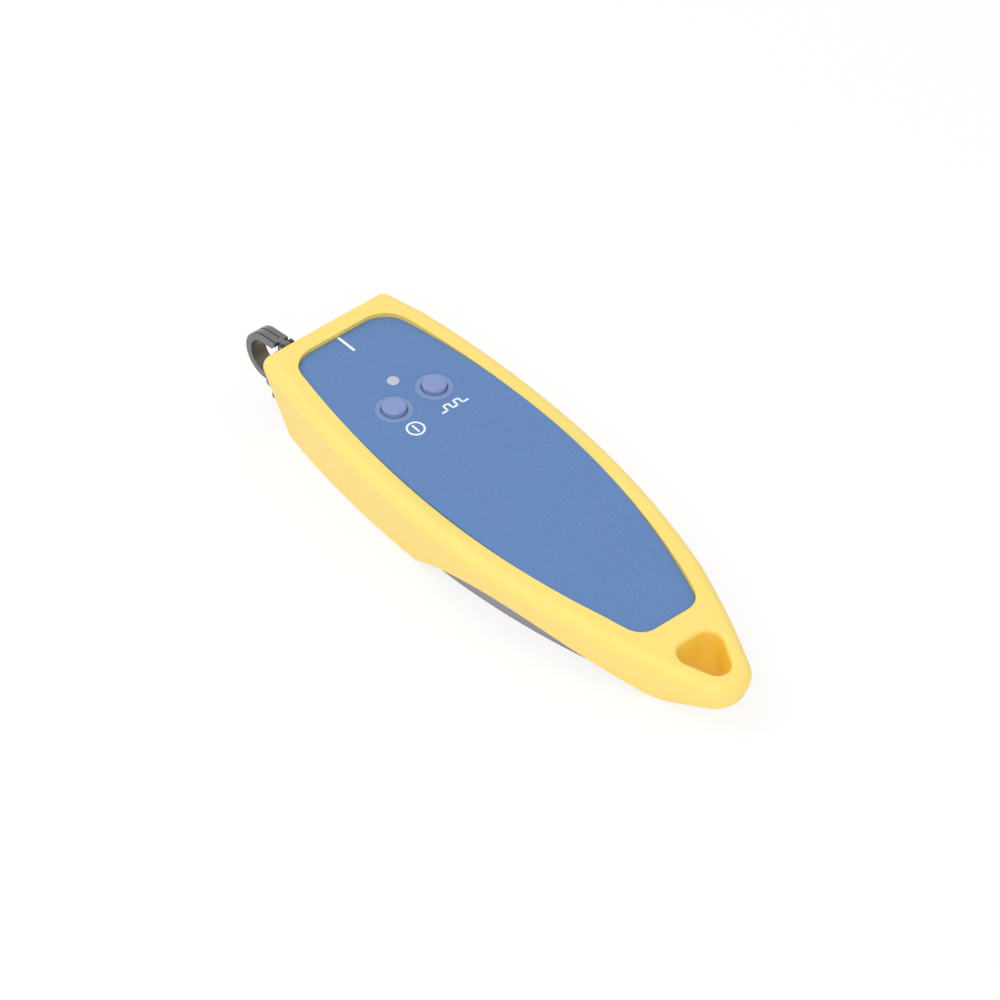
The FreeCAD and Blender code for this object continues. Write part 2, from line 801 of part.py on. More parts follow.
def receptacle():
    """Metal tube in the port block with a flange seated on the block's back."""
    start = V(x_port_mouth + receptacle_inset, y_port, z_port)
    length = x_barrel - start.x
    along = V(1, 0, 0)
    tube = rod(receptacle_diameter, length, start, along)
    tube = tube.fuse(rod(receptacle_flange_diameter, receptacle_flange_thickness,
                         V(x_housing_back, y_port, z_port), along))
    tube = tube.cut(rod(port_mouth_diameter, port_mouth_depth, start, along))
    bore = sleeve_outer_diameter + 2 * sleeve_gap
    tube = tube.cut(rod(bore, port_mouth_depth + sleeve_length, start, along))
    return tube.cut(rod(light_aperture_diameter, length, start, along)).removeSplitter()


def ferrule_sleeve():
    start = V(x_port_mouth + receptacle_inset + port_mouth_depth, y_port, z_port)
    along = V(1, 0, 0)
    tube = rod(sleeve_outer_diameter, sleeve_length, start, along)
    return tube.cut(rod(ferrule_bore_diameter, sleeve_length, start, along))


# ---------------------------------------------------------------- laser module
def on_axis(diameter, start, length):
    return rod(diameter, length, V(start, y_port, z_port), V(1, 0, 0))


def laser_barrel():
    end = x_barrel + barrel_length
    shoulder = end - diode_base_thickness - barrel_shoulder_length
    barrel = on_axis(barrel_diameter, x_barrel, barrel_length)
    barrel = barrel.cut(on_axis(barrel_bore, x_barrel, shoulder - x_barrel))
    barrel = barrel.cut(on_axis(barrel_shoulder_bore, x_barrel, barrel_length))
    return barrel.cut(on_axis(diode_diameter + 0.06, end - diode_base_thickness, 5))


def lens_front():
    end = x_barrel + barrel_length
    return end - diode_base_thickness - barrel_shoulder_length - lens_holder_length


def lens_holder():
    start = lens_front()
    tube = on_axis(lens_holder_diameter, start, lens_holder_length)
    tube = tube.cut(on_axis(lens_holder_bore, start, lens_holder_length))
    return tube.cut(on_axis(lens_diameter + 0.04, start, lens_thickness))


def focusing_lens():
    start = lens_front()
    ball = Part.makeSphere(lens_face_radius, V(start + lens_face_radius, y_port, z_port))
    return on_axis(lens_diameter, start, lens_thickness).common(ball)


def laser_diode():
    """Can with its window forward, a round base and three leads."""
    end = x_barrel + barrel_length
    base = on_axis(diode_diameter, end - diode_base_thickness, diode_base_thickness)
    cap = on_axis(diode_cap_diameter, end - diode_base_thickness - diode_cap_length,
                  diode_cap_length)
    body = base.fuse(cap)
    for turn in (0, 120, 240):
        y = y_port + diode_lead_circle / 2 * math.sin(math.radians(turn))
        z = z_port - diode_lead_circle / 2 * math.cos(math.radians(turn))
        body = body.fuse(rod(diode_lead_diameter, diode_lead_length, V(end, y, z), V(1, 0, 0)))
    return body.removeSplitter()


# ---------------------------------------------------------------- dust cover
def cover_band(outer, inner, y_low, width):
    """Loop and arms of the cover between two radii about the loop's centre."""
    centre = nose_point(cover_loop_ahead, cover_loop_depth)
    slope = math.radians(cover_arm_slope)
    back = V(math.cos(slope), 0, math.sin(slope))
    out = V(-math.sin(slope), 0, math.cos(slope))
    far = 40
    wedge = side_prism(outline([centre, centre + out * far, centre + V(-far, 0, far),
                                centre + V(-far, 0, -far), centre + V(0, 0, -far)]))
    low = V(centre.x, -BIG / 2, centre.z)
    ring = rod(2 * outer, BIG, low, V(0, 1, 0)).cut(rod(2 * inner, BIG, low, V(0, 1, 0)))
    reach = (nose.x - cover_arm_end - centre.x) / math.cos(slope)
    arm = side_prism(outline([centre + out * inner, centre + out * outer,
                              centre + out * outer + back * reach,
                              centre + out * (outer - cover_arm_chamfer) + back * reach,
                              centre + out * inner + back * (reach - cover_arm_chamfer)]))
    foot_end = nose.x - cover_cap_front + 0.3
    foot = side_prism(outline([centre + V(0, 0, -inner), V(foot_end, 0, centre.z - inner),
                               V(foot_end, 0, centre.z - outer), centre + V(0, 0, -outer)]))
    band = ring.common(wedge).multiFuse([arm, foot])
    return band.common(box(-BIG, BIG, y_low, y_low + width, -BIG, BIG))


def cover_tongue():
    """Narrow end of the arm that runs into the hinge knuckle."""
    hinge = nose_point(cover_hinge_ahead, cover_hinge_depth)
    centre = nose_point(cover_loop_ahead, cover_loop_depth)
    slope = math.radians(cover_arm_slope)
    back = V(math.cos(slope), 0, math.sin(slope))
    top = centre + V(-math.sin(slope), 0, math.cos(slope)) * cover_loop_outer
    reach = (hinge.x - centre.x) / math.cos(slope)
    down = V(math.sin(slope), 0, -math.cos(slope)) * cover_tongue_thickness
    tongue = side_prism(outline([top + back * (reach - 2.5), top + back * reach,
                                 top + back * reach + down, top + back * (reach - 2.5) + down]))
    low = y_port - cover_knuckle_width / 2
    tongue = tongue.common(box(-BIG, BIG, low, low + cover_knuckle_width, -BIG, BIG))
    knuckle = rod(2 * cover_knuckle_radius, cover_knuckle_width, V(hinge.x, low, hinge.z),
                  V(0, 1, 0))
    bore = rod(cover_pin_diameter + 2 * cover_pin_clearance, 10, V(hinge.x, low - 4, hinge.z),
               V(0, 1, 0))
    return tongue.fuse(knuckle), bore


def dust_cover():
    low = y_port - cover_width / 2
    body = cover_band(cover_loop_outer, cover_loop_inner, low, cover_width)
    for place in cover_groove_places:
        groove = cover_band(cover_loop_outer + 0.5, cover_loop_outer - cover_groove_depth,
                            y_port + place - cover_groove_width / 2, cover_groove_width)
        body = body.cut(groove)
    tongue, bore = cover_tongue()
    cap_start = nose.x - cover_cap_front
    cap = on_axis(cover_cap_diameter, cap_start, cover_cap_front - cover_cap_rear)
    body = body.multiFuse([tongue, cap]).cut(bore)
    pocket = on_axis(seal_diameter + 2 * seal_fit, nose.x - cover_cap_rear - seal_pocket, 2)
    return body.cut(pocket).removeSplitter()


def cover_seal():
    return on_axis(seal_diameter, nose.x - cover_cap_rear - seal_pocket, seal_thickness)


def cover_hinge_pin():
    half = cover_knuckle_width / 2 + cover_ear_gap + cover_ear_width
    place = nose_point(cover_hinge_ahead, cover_hinge_depth, y_port - half)
    return rod(cover_pin_diameter, 2 * half, place, V(0, 1, 0))


# ---------------------------------------------------------------- battery
def battery_cell(y, start, nub_ahead):
    """Round cell with a small terminal at one end."""
    can_length = cell_length - cell_nub_length
    can_start = start + cell_nub_length if nub_ahead else start
    nub_start = start if nub_ahead else start + can_length
    along = V(1, 0, 0)
    can = rod(cell_diameter, can_length, V(can_start, y, cell_axis_height), along)
    can = can.makeChamfer(cell_edge_chamfer, [e for e in can.Edges if e.Closed])
    nub = rod(cell_nub_diameter, cell_nub_length, V(nub_start, y, cell_axis_height), along)
    return can.fuse(nub)


def contact_spring(y, start):
    """Coil between a contact and the flat end of a cell."""
    middle = (spring_length - spring_wire) / spring_turns
    helix = Part.makeHelix(middle, spring_length - spring_wire, spring_radius)
    half = spring_wire / 2
    corners = [V(spring_radius - half, 0, -half), V(spring_radius + half, 0, -half),
               V(spring_radius + half, 0, half), V(spring_radius - half, 0, half)]
    section = Part.Wire(outline(corners))
    coil = Part.Wire(helix).makePipeShell([section], True, True)
    turn = FreeCAD.Rotation(V(0, 1, 0), 90)
    place = FreeCAD.Placement(V(start + half, y, cell_axis_height), turn)
    return to_world(coil, place)


def contact_plate(y, face, half_width=contact_half_width):
    return box(face, face + contact_thickness, y - half_width, y + half_width,
               cell_axis_height - contact_half_height, cell_axis_height + contact_half_height)


y_left = -cell_spacing / 2
y_right = cell_spacing / 2


def contact_springs():
    return Part.makeCompound([contact_spring(y_right, contact_face_front),
                              contact_spring(y_left, contact_face_rear - spring_length)])


def contact_plates():
    face = contact_face_front - contact_thickness
    return Part.makeCompound([contact_plate(y_left, face), contact_plate(y_right, face)])


def contact_bridge():
    return contact_plate(0, contact_face_rear, y_right + contact_half_width)


def battery_door():
    """Flush plate with a finger grip and one countersunk screw hole in its tongue."""
    door = door_plate(0, 0, door_thickness)
    screw_place = door_screw_place()
    door = door.cut(rod(door_screw_diameter + 0.3, 5, screw_place - V(0, 0, 1)))
    cone = Part.makeCone(door_screw_head_diameter / 2 + 0.02, door_screw_diameter / 2 + 0.02,
                         door_screw_head_height, screw_place + V(0, 0, 0.1))
    door = door.cut(cone)
    door = door.cut(rod(door_screw_head_diameter + 0.04, 0.1, screw_place))
    for i in range(door_grip_count):
        x = door_front + 5 + i * door_grip_pitch
        door = door.cut(box(x, x + 0.8, -door_grip_half_width, door_grip_half_width, -1, 0.5))
    return door


def door_screw():
    one = screw(door_screw_diameter, door_screw_length - 1.2, door_screw_head_diameter,
                door_screw_head_height, True)
    return moved(one, door_screw_place() + V(0, 0, 0.1 + door_screw_head_height))


def case_screws():
    one = screw(case_screw_diameter, case_screw_length, case_screw_head_diameter,
                case_screw_head_height)
    return Part.makeCompound([moved(one, V(x, y, case_screw_seat(x)))
                              for x, y in case_screw_places])


# ---------------------------------------------------------------- every piece
power_place, mode_place = button_places()
left_cell_start = contact_face_front
right_cell_start = contact_face_front + spring_length
pieces = {
    "holster": holster(),
    "upper_casing": upper_casing(),
    "lower_casing": lower_casing(),
    "keypad_mat": keypad_mat(),
    "button_power": button(power_place),
    "button_mode": button(mode_place),
    "indicator_lens": indicator_lens(),
    "circuit_board": circuit_board(),
    "switch_power": switch(power_place),
    "switch_mode": switch(mode_place),
    "board_screws": board_screws(),
    "indicator_led": indicator_led(),
    "driver_chip": driver_chip(),
    "capacitors": capacitors(),
    "inductor": inductor(),
    "port_housing": port_housing(),
    "port_receptacle": receptacle(),
    "ferrule_sleeve": ferrule_sleeve(),
    "laser_barrel": laser_barrel(),
    "lens_holder": lens_holder(),
    "focusing_lens": focusing_lens(),
    "laser_diode": laser_diode(),
    "dust_cover": dust_cover(),
    "cover_seal": cover_seal(),
    "cover_hinge_pin": cover_hinge_pin(),
    "battery_cell_left": battery_cell(y_left, left_cell_start, True),
    "battery_cell_right": battery_cell(y_right, right_cell_start, False),
    "contact_springs": contact_springs(),
    "contact_plates": contact_plates(),
    "contact_bridge": contact_bridge(),
    "battery_door": battery_door(),
    "door_screw": door_screw(),
    "case_screws": case_screws(),
}

os.makedirs("parts", exist_ok=True)
for node, shape in pieces.items():
    shape.exportStep("parts/" + node + ".step")
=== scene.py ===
"""Looks of a visual fault locator, laid out as a Blender add-on and run as a script.

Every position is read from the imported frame, in metres. X runs from the port to the tail,
Z is up and the tool lies on Z = 0. New pieces are surfaces worked out with numpy.
"""
import functools
import math

import bpy
import numpy as np
from bpy.props import FloatProperty, FloatVectorProperty, PointerProperty
from mathutils import Matrix, Vector
from mathutils.bvhtree import BVHTree


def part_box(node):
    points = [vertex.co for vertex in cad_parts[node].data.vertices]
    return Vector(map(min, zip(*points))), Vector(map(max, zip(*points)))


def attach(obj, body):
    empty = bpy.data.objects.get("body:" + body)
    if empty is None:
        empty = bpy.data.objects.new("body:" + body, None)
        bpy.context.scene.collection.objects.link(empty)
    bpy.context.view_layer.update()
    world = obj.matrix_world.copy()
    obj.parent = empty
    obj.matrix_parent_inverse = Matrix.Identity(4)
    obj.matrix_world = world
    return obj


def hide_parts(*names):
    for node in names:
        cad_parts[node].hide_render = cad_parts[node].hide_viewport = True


bl_info = {
    "name": "Visual Fault Locator",
    "version": (1, 0, 0),
    "blender": (4, 5, 0),
    "location": "View3D > Sidebar > Locator",
    "description": "Dresses a visual fault locator in moulded rubber, plastic and metal",
    "category": "Add Mesh",
}

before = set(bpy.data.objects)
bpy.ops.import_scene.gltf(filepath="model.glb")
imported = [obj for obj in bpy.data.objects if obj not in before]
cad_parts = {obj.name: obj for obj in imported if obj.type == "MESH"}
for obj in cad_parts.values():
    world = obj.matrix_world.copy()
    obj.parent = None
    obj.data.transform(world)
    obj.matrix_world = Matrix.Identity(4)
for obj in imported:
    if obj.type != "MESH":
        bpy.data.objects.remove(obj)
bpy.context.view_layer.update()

MM = 0.001


def linear(hex_colour):
    """Linear RGB from an sRGB hex value."""
    channels = [int(hex_colour[i:i + 2], 16) / 255 for i in (1, 3, 5)]
    return tuple(c / 12.92 if c <= 0.04045 else ((c + 0.055) / 1.055) ** 2.4
                 for c in channels)


# ---------------------------------------------------------------- settings
def size_property(name, description, default):
    """A length in metres whose default is given in millimetres."""
    return FloatProperty(name=name, description=description, default=default * MM,
                         unit="LENGTH", subtype="DISTANCE", precision=5)


def colour_property(name, description, hex_colour):
    """A linear colour whose default is given as an sRGB hex value."""
    return FloatVectorProperty(name=name, description=description, size=3, min=0, max=1,
                               subtype="COLOR", default=linear(hex_colour))


class LocatorSizes(bpy.types.PropertyGroup):
    """Sizes of the printed marks, the surface grain, the threads and the springs."""
    print_height: size_property("Print height", "How far the ink stands over the face", 0.05)
    print_stroke: size_property("Print stroke", "Width of a printed line", 0.5)
    ring_radius: size_property("Ring radius", "Middle radius of the power mark's ring", 2.06)
    bar_length: size_property("Bar length", "Length of the power mark's bar", 2.6)
    index_behind: size_property("Index behind", "From the casing's front end to the line", 2.9)
    index_length: size_property("Index length", "Length of the line at the front", 6.0)
    index_width: size_property("Index width", "Width of the line at the front", 0.7)
    power_behind: size_property("Power behind", "From a button's centre to the power mark", 8.2)
    power_aside: size_property("Power aside", "How far out the power mark is set", 0.35)
    pulse_behind: size_property("Pulse behind", "From a button's centre to the pulse mark", 7.4)
    pulse_inward: size_property("Pulse inward", "How far in the pulse mark is set", 0.6)
    pulse_width: size_property("Pulse width", "Whole width of the pulse mark", 7.4)
    pulse_height: size_property("Pulse height", "Height of one pulse", 1.7)
    rubber_grain: size_property("Rubber grain", "Grain of the moulded rubber", 0.35)
    rubber_glow: size_property("Rubber glow", "How far red light goes into the rubber", 1.5)
    plastic_grain: size_property("Plastic grain", "Grain of the spark-eroded mould", 0.3)
    thread_pitch: size_property("Thread pitch", "Pitch of the coarse plastic screws", 0.8)
    thread_depth: size_property("Thread depth", "Depth of the screws' thread", 0.22)
    spring_wire: size_property("Spring wire", "Diameter of the contact springs' wire", 0.6)
    spring_turns: FloatProperty(name="Spring turns", description="Coils in a contact spring",
                                default=3.5, min=1, max=12)


class LocatorColours(bpy.types.PropertyGroup):
    """Colours of the pieces that show."""
    holster: colour_property("Holster", "Moulded rubber of the holster", "#ffdf79")
    # painted shade: the deeper orange that ambient occlusion mixes into the holster's hollows
    hollow_painted_shade: colour_property("Holster hollows", "Rubber deep in the lanyard hole", "#ffd545")
    casing: colour_property("Upper casing", "Blue casing under the fingers", "#5b80b6")
    underside: colour_property("Lower casing", "Grey casing and battery door", "#9791a0")
    buttons: colour_property("Buttons", "Caps of the two buttons", "#8294c8")
    mat: colour_property("Button rings", "Silicone rings round the buttons", "#7b94bf")
    ink: colour_property("Ink", "Printed marks", "#f4f6fb")
    cover: colour_property("Dust cover", "Black rubber of the dust cover", "#474648")


def sizes():
    return bpy.context.scene.locator_sizes


def colours():
    return bpy.context.scene.locator_colours


# ---------------------------------------------------------------- material helpers
def add_node(tree, kind, settings=None, **inputs):
    """Adds a node, sets its properties, and fills or links its inputs.

    An input goes by its name, with _ for a space, or by its number after a _.
    """
    node = tree.nodes.new(kind)
    for key, value in (settings or {}).items():
        setattr(node, key, value)
    for key, value in inputs.items():
        name = int(key[1:]) if key[0] == "_" else key.replace("_", " ")
        socket = node.inputs[name]
        if isinstance(value, bpy.types.NodeSocket):
            tree.links.new(value, socket)
        else:
            socket.default_value = value
    return node


def start_material(name, colour, roughness, **sockets):
    """A material with one Principled shader, with constants on its own sockets."""
    material = bpy.data.materials.new(name)
    material.use_nodes = True
    tree = material.node_tree
    shader = tree.nodes["Principled BSDF"]
    shader.inputs["Base Color"].default_value = (*colour, 1)
    shader.inputs["Roughness"].default_value = roughness
    for key, value in sockets.items():
        shader.inputs[key.replace("_", " ")].default_value = value
    return material, tree, shader


def mottle(tree, shader, colour, patch, contrast):
    """Slow change of shade across a piece, in patches of a real size.

    Gives back the piece's own coordinates and the socket of the patches' colour.
    """
    place = add_node(tree, "ShaderNodeTexCoord").outputs["Object"]
    noise = add_node(tree, "ShaderNodeTexNoise", Vector=place, Scale=1 / patch, Detail=3.0)
    dark = tuple(c * (1 - contrast) for c in colour)
    mix = add_node(tree, "ShaderNodeMix", {"data_type": "RGBA"}, _0=noise.outputs["Fac"],
                   _6=(*dark, 1), _7=(*colour, 1))
    tree.links.new(mix.outputs[2], shader.inputs["Base Color"])
    return place, mix.outputs[2]


def grain(tree, shader, place, size, depth, spread, roughness):
    """Fine bumps of a real size and depth, and the change of gloss that goes with them."""
    fine = add_node(tree, "ShaderNodeTexNoise", Vector=place, Scale=1 / size, Detail=4.0,
                    Roughness=0.6)
    bump = add_node(tree, "ShaderNodeBump", Height=fine.outputs["Fac"], Distance=depth,
                    Strength=1.0)
    tree.links.new(bump.outputs["Normal"], shader.inputs["Normal"])
    wear = add_node(tree, "ShaderNodeTexNoise", Vector=place, Scale=0.15 / size, Detail=2.0)
    gloss = add_node(tree, "ShaderNodeMapRange", Value=wear.outputs["Fac"],
                     To_Min=roughness - spread, To_Max=roughness + spread)
    tree.links.new(gloss.outputs["Result"], shader.inputs["Roughness"])


def moulded(name, colour, roughness, patch, contrast, size, depth, **sockets):
    """A moulded polymer: slow mottling, fine grain and uneven gloss."""
    material, tree, shader = start_material(name, colour, roughness, **sockets)
    place, _ = mottle(tree, shader, colour, patch, contrast)
    grain(tree, shader, place, size, depth, 0.05, roughness)
    return material


def turned(name, colour, roughness, pitch, depth):
    """Turned metal: rings round the X axis left by the tool, as fine as can still show."""
    material, tree, shader = start_material(name, colour, roughness, Metallic=1.0)
    place, _ = mottle(tree, shader, colour, 3 * MM, 0.08)
    rings = add_node(tree, "ShaderNodeTexWave", {"bands_direction": "X"}, Vector=place,
                     Scale=0.05 / pitch, Distortion=0.3)
    bump = add_node(tree, "ShaderNodeBump", Height=rings.outputs["Fac"], Distance=depth,
                    Strength=0.4)
    tree.links.new(bump.outputs["Normal"], shader.inputs["Normal"])
    return material


# ---------------------------------------------------------------- materials
def thermoplastic_rubber():
    """Injection-moulded TPE: satin, with a faint pebble from the mould.

    Light goes a little way into it, red the furthest. In hollows the colour is mixed towards a
    deeper orange by ambient occlusion: painted shade for the light that bounces between rubber
    walls.
    """
    material, tree, shader = start_material(
        "moulded_tpe_rubber", tuple(colours().holster), 0.48, Subsurface_Weight=0.25,
        Subsurface_Scale=sizes().rubber_glow, Subsurface_Radius=(1.0, 0.35, 0.1))
    place, patches = mottle(tree, shader, tuple(colours().holster), 30 * MM, 0.03)
    # painted shade: the more closed in a point is, the more of the deeper hollow colour goes
    # into the base colour
    open_share = add_node(tree, "ShaderNodeAmbientOcclusion",
                          {"samples": 8, "only_local": True}, Distance=15 * MM).outputs["AO"]
    depth = add_node(tree, "ShaderNodeMapRange", Value=open_share, From_Min=0.3,
                     From_Max=0.85, To_Min=1.0, To_Max=0.0)
    mix = add_node(tree, "ShaderNodeMix", {"data_type": "RGBA"}, _0=depth.outputs["Result"],
                   _6=patches, _7=(*colours().hollow_painted_shade, 1))
    tree.links.new(mix.outputs[2], shader.inputs["Base Color"])
    grain(tree, shader, place, sizes().rubber_grain, 0.010 * MM, 0.05, 0.48)
    return material


def sparked_abs():
    """ABS from a spark-eroded mould: fine even specks that scatter the light.

    Slow patches of shade are mixed with the specks before they reach the colour.
    """
    colour = tuple(colours().casing)
    material, tree, shader = start_material("sparked_abs_blue", colour, 0.5)
    place, patches = mottle(tree, shader, colour, 22 * MM, 0.04)
    specks = add_node(tree, "ShaderNodeTexNoise", Vector=place, Detail=2.0,
                      Scale=1 / sizes().plastic_grain)
    shade = add_node(tree, "ShaderNodeMapRange", Value=specks.outputs["Fac"], From_Min=0.3,
                     From_Max=0.7, To_Min=0.86, To_Max=1.14)
    mix = add_node(tree, "ShaderNodeVectorMath", {"operation": "SCALE"}, Vector=patches,
                   Scale=shade.outputs["Result"])
    tree.links.new(mix.outputs[0], shader.inputs["Base Color"])
    grain(tree, shader, place, sizes().plastic_grain, 0.05 * MM, 0.04, 0.5)
    return material


def sparked_abs_grey():
    """The same moulding in grey for the casing's lower half."""
    return moulded("sparked_abs_grey", tuple(colours().underside), 0.5, 22 * MM, 0.05,
                   sizes().plastic_grain, 0.02 * MM)


def silicone():
    """Moulded silicone keypad: matt and soft, with a faint bloom."""
    return moulded("silicone_keypad", tuple(colours().mat), 0.55, 6 * MM, 0.05, 0.25 * MM,
                   0.006 * MM, Sheen_Weight=0.1)


def button_plastic():
    """Satin ABS caps, rubbed a little smoother than the face round them."""
    return moulded("satin_abs_button", tuple(colours().buttons), 0.38, 5 * MM, 0.05,
                   0.3 * MM, 0.006 * MM)


def screen_ink():
    """Screen-printed ink: flat white with slightly uneven cover."""
    return moulded("screen_print_ink", tuple(colours().ink), 0.45, 1.5 * MM, 0.06, 0.2 * MM,
                   0.004 * MM)


def cover_rubber():
    """Black moulded rubber: dark, satin, with light scuffs that catch the light."""
    return moulded("black_moulded_rubber", tuple(colours().cover), 0.4, 4 * MM, 0.25,
                   0.25 * MM, 0.012 * MM, Specular_IOR_Level=1.0, Coat_Weight=0.7,
                   Coat_Roughness=0.35)


def seal_foam():
    """Soft closed-cell rubber of the seal pad."""
    return moulded("closed_cell_seal", linear("#2c2c2d"), 0.8, 2 * MM, 0.3, 0.3 * MM, 0.03 * MM)


def glass_filled_nylon():
    """Glass-filled nylon: black, matt, with short pale flow marks."""
    return moulded("glass_filled_nylon", linear("#343435"), 0.5, 3 * MM, 0.3, 0.3 * MM,
                   0.012 * MM)


def milky_acrylic():
    """Moulded milky acrylic of the light pipe: glossy, with light inside it."""
    material, tree, shader = start_material("milky_acrylic", linear("#c4c9d6"), 0.2,
                                            Subsurface_Weight=0.3, Subsurface_Scale=0.6 * MM)
    place, _ = mottle(tree, shader, linear("#c4c9d6"), 1.2 * MM, 0.12)
    grain(tree, shader, place, 0.4 * MM, 0.003 * MM, 0.05, 0.2)
    return material


def solder_mask():
    """Green solder mask over glass laminate: glossy, with the weave just showing."""
    material, tree, shader = start_material("solder_mask_laminate", linear("#1f6b3a"), 0.25)
    place = add_node(tree, "ShaderNodeTexCoord").outputs["Object"]
    weave = add_node(tree, "ShaderNodeTexBrick", Vector=place, Scale=1 / (0.5 * MM),
                     Color1=(*linear("#1f6b3a"), 1), Color2=(*linear("#24753f"), 1),
                     Mortar=(*linear("#1a5c32"), 1))
    tree.links.new(weave.outputs["Color"], shader.inputs["Base Color"])
    grain(tree, shader, place, 0.5 * MM, 0.01 * MM, 0.04, 0.25)
    return material


def ceramic_capacitor():
    """Sintered ceramic chip: tan, with a fine mineral speckle."""
    return moulded("sintered_ceramic_chip", linear("#a5794f"), 0.5, 1 * MM, 0.2, 0.15 * MM,
                   0.01 * MM)


def led_package():
    """White reflector package of a small surface-mounted lamp."""
    return moulded("led_package", linear("#e9e6d8"), 0.35, 1 * MM, 0.1, 0.2 * MM, 0.005 * MM)


def pressed_ferrite():
    """Pressed ferrite: dark grey and powdery."""
    return moulded("pressed_ferrite", linear("#4b4c50"), 0.65, 1 * MM, 0.25, 0.2 * MM, 0.02 * MM)


def zirconia():
    """Ground zirconia sleeve: white, dense and polished."""
    return moulded("polished_zirconia", linear("#f0eee6"), 0.12, 2 * MM, 0.04, 0.2 * MM,
                   0.002 * MM)


def nickel_steel():
    """Nickel-plated spring steel of the contacts: bright, warm grey, faintly brushed."""
    return moulded("nickel_plated_steel", linear("#cbc7be"), 0.24, 1.5 * MM, 0.1, 0.2 * MM,
                   0.003 * MM, Metallic=1.0)


def zinc_steel():
    """Zinc-plated steel of the screws and the pin: pale, with a crystalline mottle."""
    material, tree, shader = start_material("zinc_plated_steel", linear("#c3c5c8"), 0.32,
                                            Metallic=1.0)
    place, _ = mottle(tree, shader, linear("#c3c5c8"), 1.2 * MM, 0.18)
    grain(tree, shader, place, 0.3 * MM, 0.006 * MM, 0.08, 0.32)
    return material


def coated_glass():
    """Ground lens with a faint coating: clear and smooth, with an uneven violet tint."""
    material, tree, shader = start_material("coated_optical_glass", linear("#e8eef2"), 0.03,
                                            Transmission_Weight=0.9, IOR=1.52)
    mottle(tree, shader, linear("#e4e2f2"), 2 * MM, 0.06)
    return material


def cell_jacket():
    """Printed plastic sleeve of a round cell: glossy, with a paler band near one end."""
    low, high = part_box("battery_cell_left")
    material, tree, shader = start_material("printed_cell_sleeve", linear("#3c4148"), 0.28)
    place = add_node(tree, "ShaderNodeTexCoord").outputs["Object"]
    along = add_node(tree, "ShaderNodeSeparateXYZ", Vector=place).outputs["X"]
    band = add_node(tree, "ShaderNodeMath", {"operation": "GREATER_THAN"}, _0=along,
                    _1=high.x - 0.25 * (high.x - low.x))
    mix = add_node(tree, "ShaderNodeMix", {"data_type": "RGBA"}, _0=band.outputs[0],
                   _6=(*linear("#3c4148"), 1), _7=(*linear("#b58b45"), 1))
    tree.links.new(mix.outputs[2], shader.inputs["Base Color"])
    grain(tree, shader, place, 0.5 * MM, 0.004 * MM, 0.04, 0.28)
    return material


def dress(material, *nodes):
    """Gives a material to CAD nodes through their objects' slots."""
    for name in nodes:
        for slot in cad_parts[name].material_slots:
            slot.material = material


# ---------------------------------------------------------------- surfaces
def make_piece(name, shape, materials, body, kinds=None):
    """A mesh piece from (points, faces), with its place in its mesh, riding on a body.

    kinds holds each face's material number, where there are two.
    """
    points, faces = shape
    mesh = bpy.data.meshes.new(name)
    mesh.from_pydata(points.tolist(), [], faces)
    for material in materials:
        mesh.materials.append(material)
    if kinds is not None:
        mesh.polygons.foreach_set("material_index", kinds)
    mesh.update()
    piece = bpy.data.objects.new(name, mesh)
    bpy.context.scene.collection.objects.link(piece)
    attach(piece, body)
    return piece


def smooth(piece, angle=35):
    """Smooth shading that stays sharp where faces meet at more than an angle in degrees."""
    mesh = piece.data
    mesh.shade_smooth()
    mesh.set_sharp_from_angle(angle=math.radians(angle))


def tube(rings):
    """Closed surface through rings of points, each ring joined to the next one.

    rings[i, j] is point j of ring i. Four neighbours make a face, the last point of a ring is
    joined to its first, and one flat face closes each end.
    """
    count, columns, _ = rings.shape
    row = np.arange(count - 1)[:, None] * columns
    here = np.arange(columns)[None, :]
    ahead = (here + 1) % columns
    sides = np.stack([row + here, row + ahead, row + columns + ahead, row + columns + here], -1)
    start = list(range(columns))[::-1]
    end = list(range((count - 1) * columns, count * columns))
    return rings.reshape(-1, 3), sides.reshape(-1, 4).tolist() + [start, end]


def joined(shapes):
    """Several shapes' points and faces as one mesh, each shape's numbers after the last."""
    points = np.concatenate([p for p, _ in shapes])
    starts = np.cumsum([0] + [len(p) for p, _ in shapes[:-1]])
    faces = [[i + start for i in face] for (_, faces), start in zip(shapes, starts)
             for face in faces]
    return points, faces


def turned_rings(radii, along, columns=48):
    """Rings of a surface of revolution about Z: radius times cosine and sine of the angle."""
    angle = np.linspace(0, 2 * math.pi, columns, endpoint=False)
    radii = np.broadcast_to(np.reshape(radii, (len(along), -1)), (len(along), columns))
    along = np.broadcast_to(np.reshape(along, (len(along), 1)), radii.shape)
    return np.stack([radii * np.cos(angle), radii * np.sin(angle), along], -1)


def placed(rings, origin, axis):
    """Rings turned so that their Z lies on an axis, and moved to an origin."""
    turn = np.array(Vector((0, 0, 1)).rotation_difference(Vector(axis)).to_matrix())
    return rings @ turn.T + np.array(origin)


def cloud(node):
    """The points of a node's mesh."""
    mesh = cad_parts[node].data
    points = np.empty(len(mesh.vertices) * 3)
    mesh.vertices.foreach_get("co", points)
    return points.reshape(-1, 3)


def solids_of(node, gap=3.0 * MM):
    """Point clouds of a node's solids: sorted along X and Y, a wide enough gap parts them."""
    groups = [cloud(node)]
    for way in (0, 1):
        parted = []
        for group in groups:
            ordered = group[np.argsort(group[:, way])]
            breaks = np.nonzero(np.diff(ordered[:, way]) > gap)[0] + 1
            parted += np.split(ordered, breaks)
        groups = parted
    return groups


def facing(node):
    """Upward normal of a node's largest face."""
    normal = max(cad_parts[node].data.polygons, key=lambda face: face.area).normal
    return tuple(normal if normal.z > 0 else -normal)


